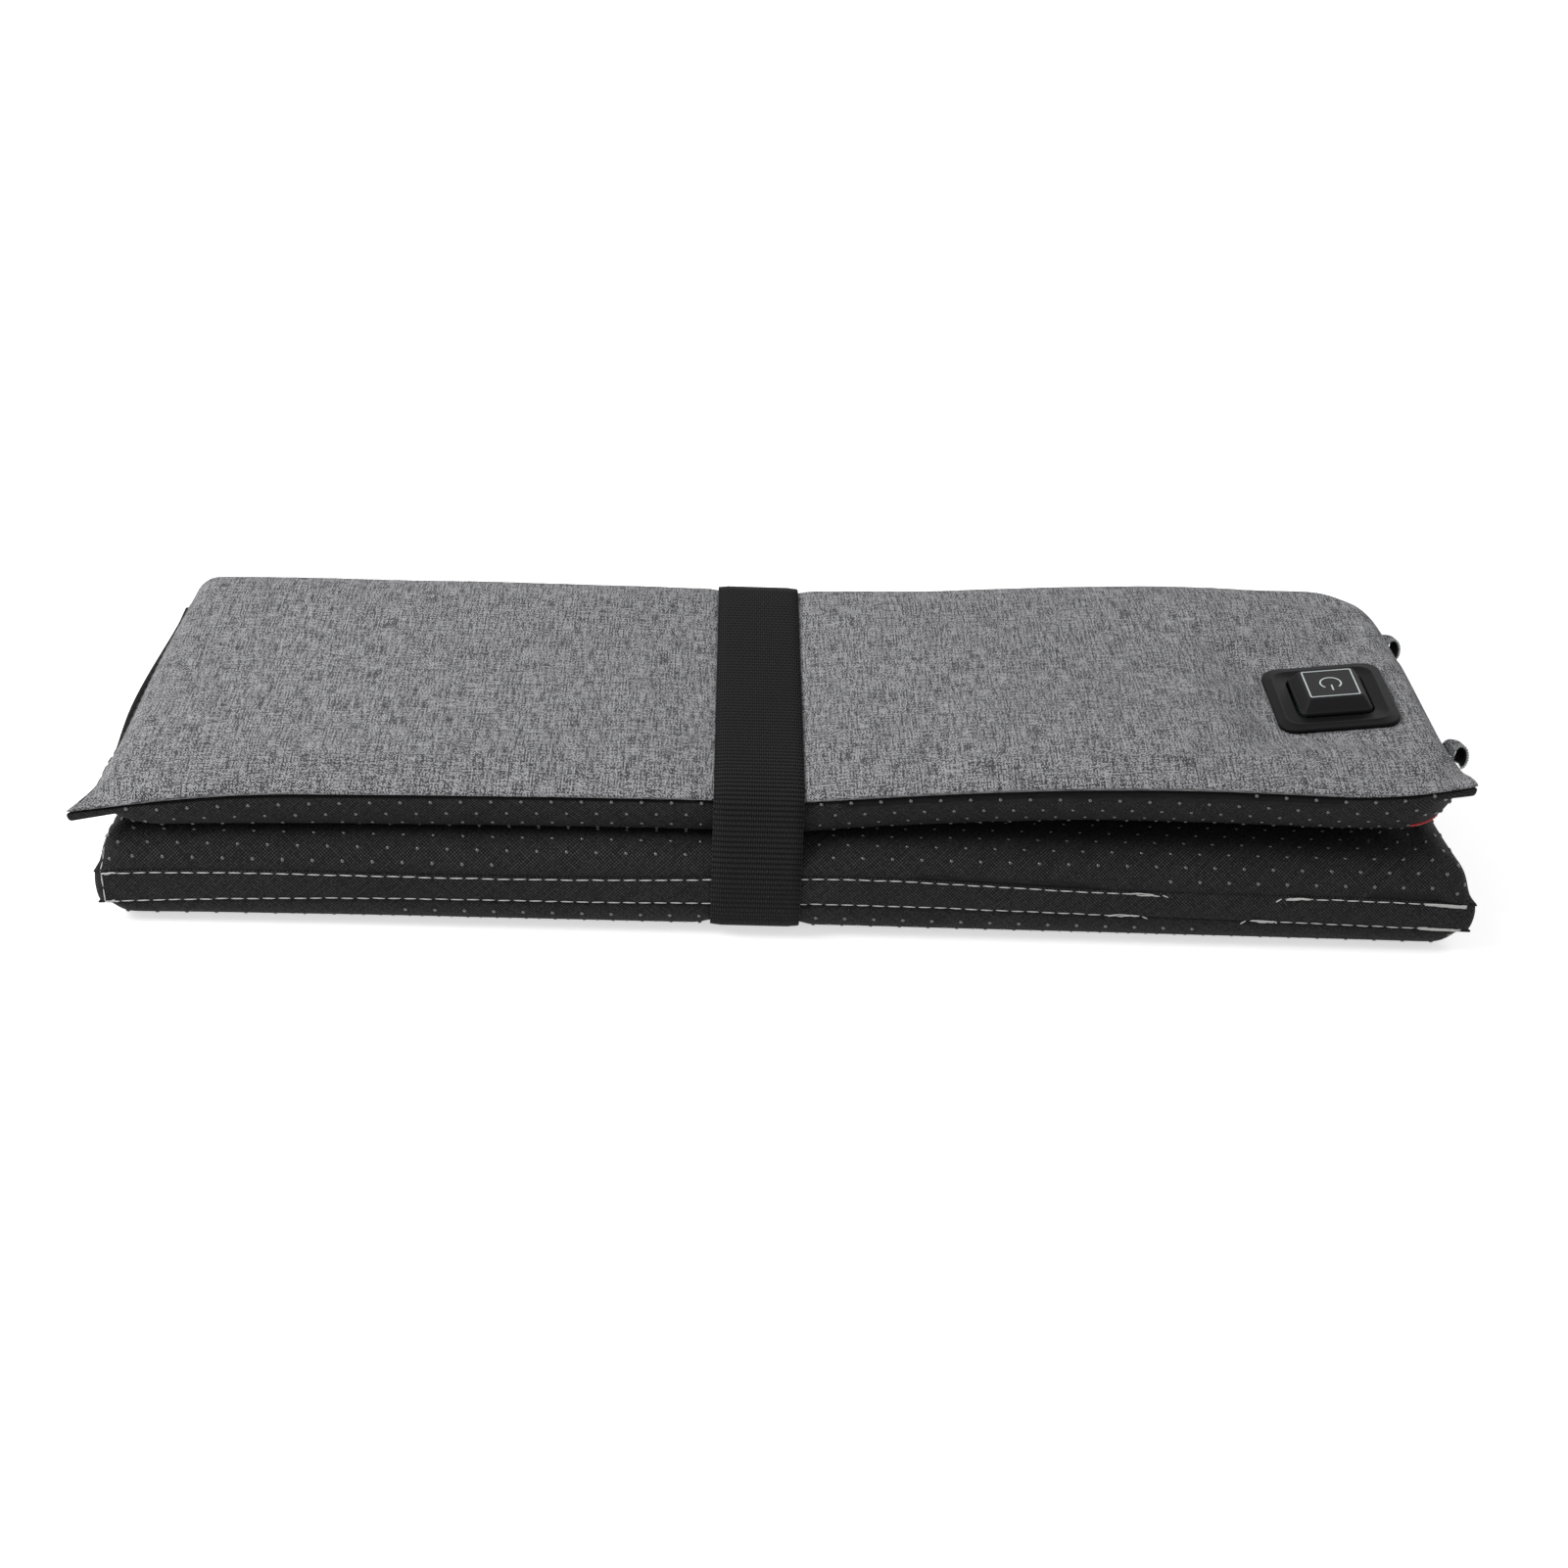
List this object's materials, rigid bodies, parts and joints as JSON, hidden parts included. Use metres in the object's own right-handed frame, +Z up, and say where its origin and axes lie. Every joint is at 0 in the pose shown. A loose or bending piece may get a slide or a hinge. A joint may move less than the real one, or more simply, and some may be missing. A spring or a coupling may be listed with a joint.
{
  "type": "heated seat cushion",
  "caption": "Heated seat cushion of hinged foam pads, folded like a letter and held by an elastic strap, with a push-button controller and an end pocket.",
  "frame": {"origin": "middle of the folded cushion's footprint, on the surface that it lies on", "axes": "+X along the folded pack towards the button and pocket, +Y from the front hinge to the back, +Z up"},
  "size_m": [0.3918, 0.1325, 0.062],
  "materials": {
    "heather_cloth": "grey heather, linen-look plain weave",
    "dotted_cloth": "black woven non-slip cloth with small raised dots",
    "strap_webbing": "black ribbed elastic webbing",
    "foam": "soft open-cell foam",
    "felt": "thin white felt that carries the heating cord",
    "heater_sheath": "dark silicone-sheathed heating cord",
    "lead_sheath": "red lead insulation",
    "silicone": "matt black moulded silicone",
    "case_plastic": "matt black moulded plastic",
    "board_green": "green coated circuit board",
    "switch_metal": "plated switch frame",
    "lamp_lens": "clear lamp lens",
    "binding_tape": "red woven binding tape"
  },
  "bodies": {
    "bottom_panel": {"bottom_heated_cover": "heather_cloth", "bottom_nonslip_cover": "dotted_cloth", "bottom_foam": "foam", "bottom_felt": "felt", "bottom_heating_cord": "heater_sheath", "front_hinge_cloth": "dotted_cloth", "front_hinge_lining": "heather_cloth", "front_jumper_lead": "lead_sheath"},
    "middle_panel": {"middle_heated_cover": "heather_cloth", "middle_nonslip_cover": "dotted_cloth", "middle_foam": "foam", "middle_felt": "felt", "middle_heating_cord": "heater_sheath", "back_hinge_cloth": "heather_cloth", "back_hinge_lining": "dotted_cloth", "back_jumper_lead": "lead_sheath"},
    "top_panel": {"top_heated_cover": "heather_cloth", "top_nonslip_cover": "dotted_cloth", "top_foam": "foam", "top_felt": "felt", "top_heating_cord": "heater_sheath", "button_flange": "silicone", "controller_case": "case_plastic", "controller_base": "case_plastic", "circuit_board": "board_green", "tact_switch": "switch_metal", "status_lamp": "lamp_lens", "thermal_cutout": "case_plastic", "pocket_liner": "dotted_cloth", "pocket_binding": "binding_tape", "pocket_tab_front": "heather_cloth", "pocket_tab_back": "heather_cloth", "controller_lead": "lead_sheath"},
    "power_button": {"power_button": "silicone"},
    "strap": {"strap": "strap_webbing", "strap_end": "strap_webbing"}
  },
  "joints": [
    {"name": "front_fold", "type": "hinge", "parent": "bottom_panel", "child": "middle_panel", "pos_m": [0, -0.0655, 0.015], "axis": [1, 0, 0], "range_deg": [0, 180], "deforming": ["front_hinge_cloth", "front_hinge_lining", "front_jumper_lead"]},
    {"name": "back_fold", "type": "hinge", "parent": "middle_panel", "child": "top_panel", "pos_m": [0, 0.0655, 0.03], "axis": [1, 0, 0], "range_deg": [-180, 0], "deforming": ["back_hinge_cloth", "back_hinge_lining", "back_jumper_lead"]},
    {"name": "strap_slide", "type": "slide", "parent": "bottom_panel", "child": "strap", "axis": [1, 0, 0], "range_m": [-0.26, 0], "deforming": ["strap", "strap_end"]},
    {"name": "button_press", "type": "slide", "parent": "top_panel", "child": "power_button", "axis": [0.1219, 0, -0.9925], "range_m": [0, 0.0008], "stiffness_N_per_m": 1500}
  ],
  "couplings": [
    {"joint": "back_fold", "follows": "front_fold", "ratio": -1},
    {"joint": "strap_slide", "follows": "front_fold", "m_per_rad": -0.08}
  ]
}
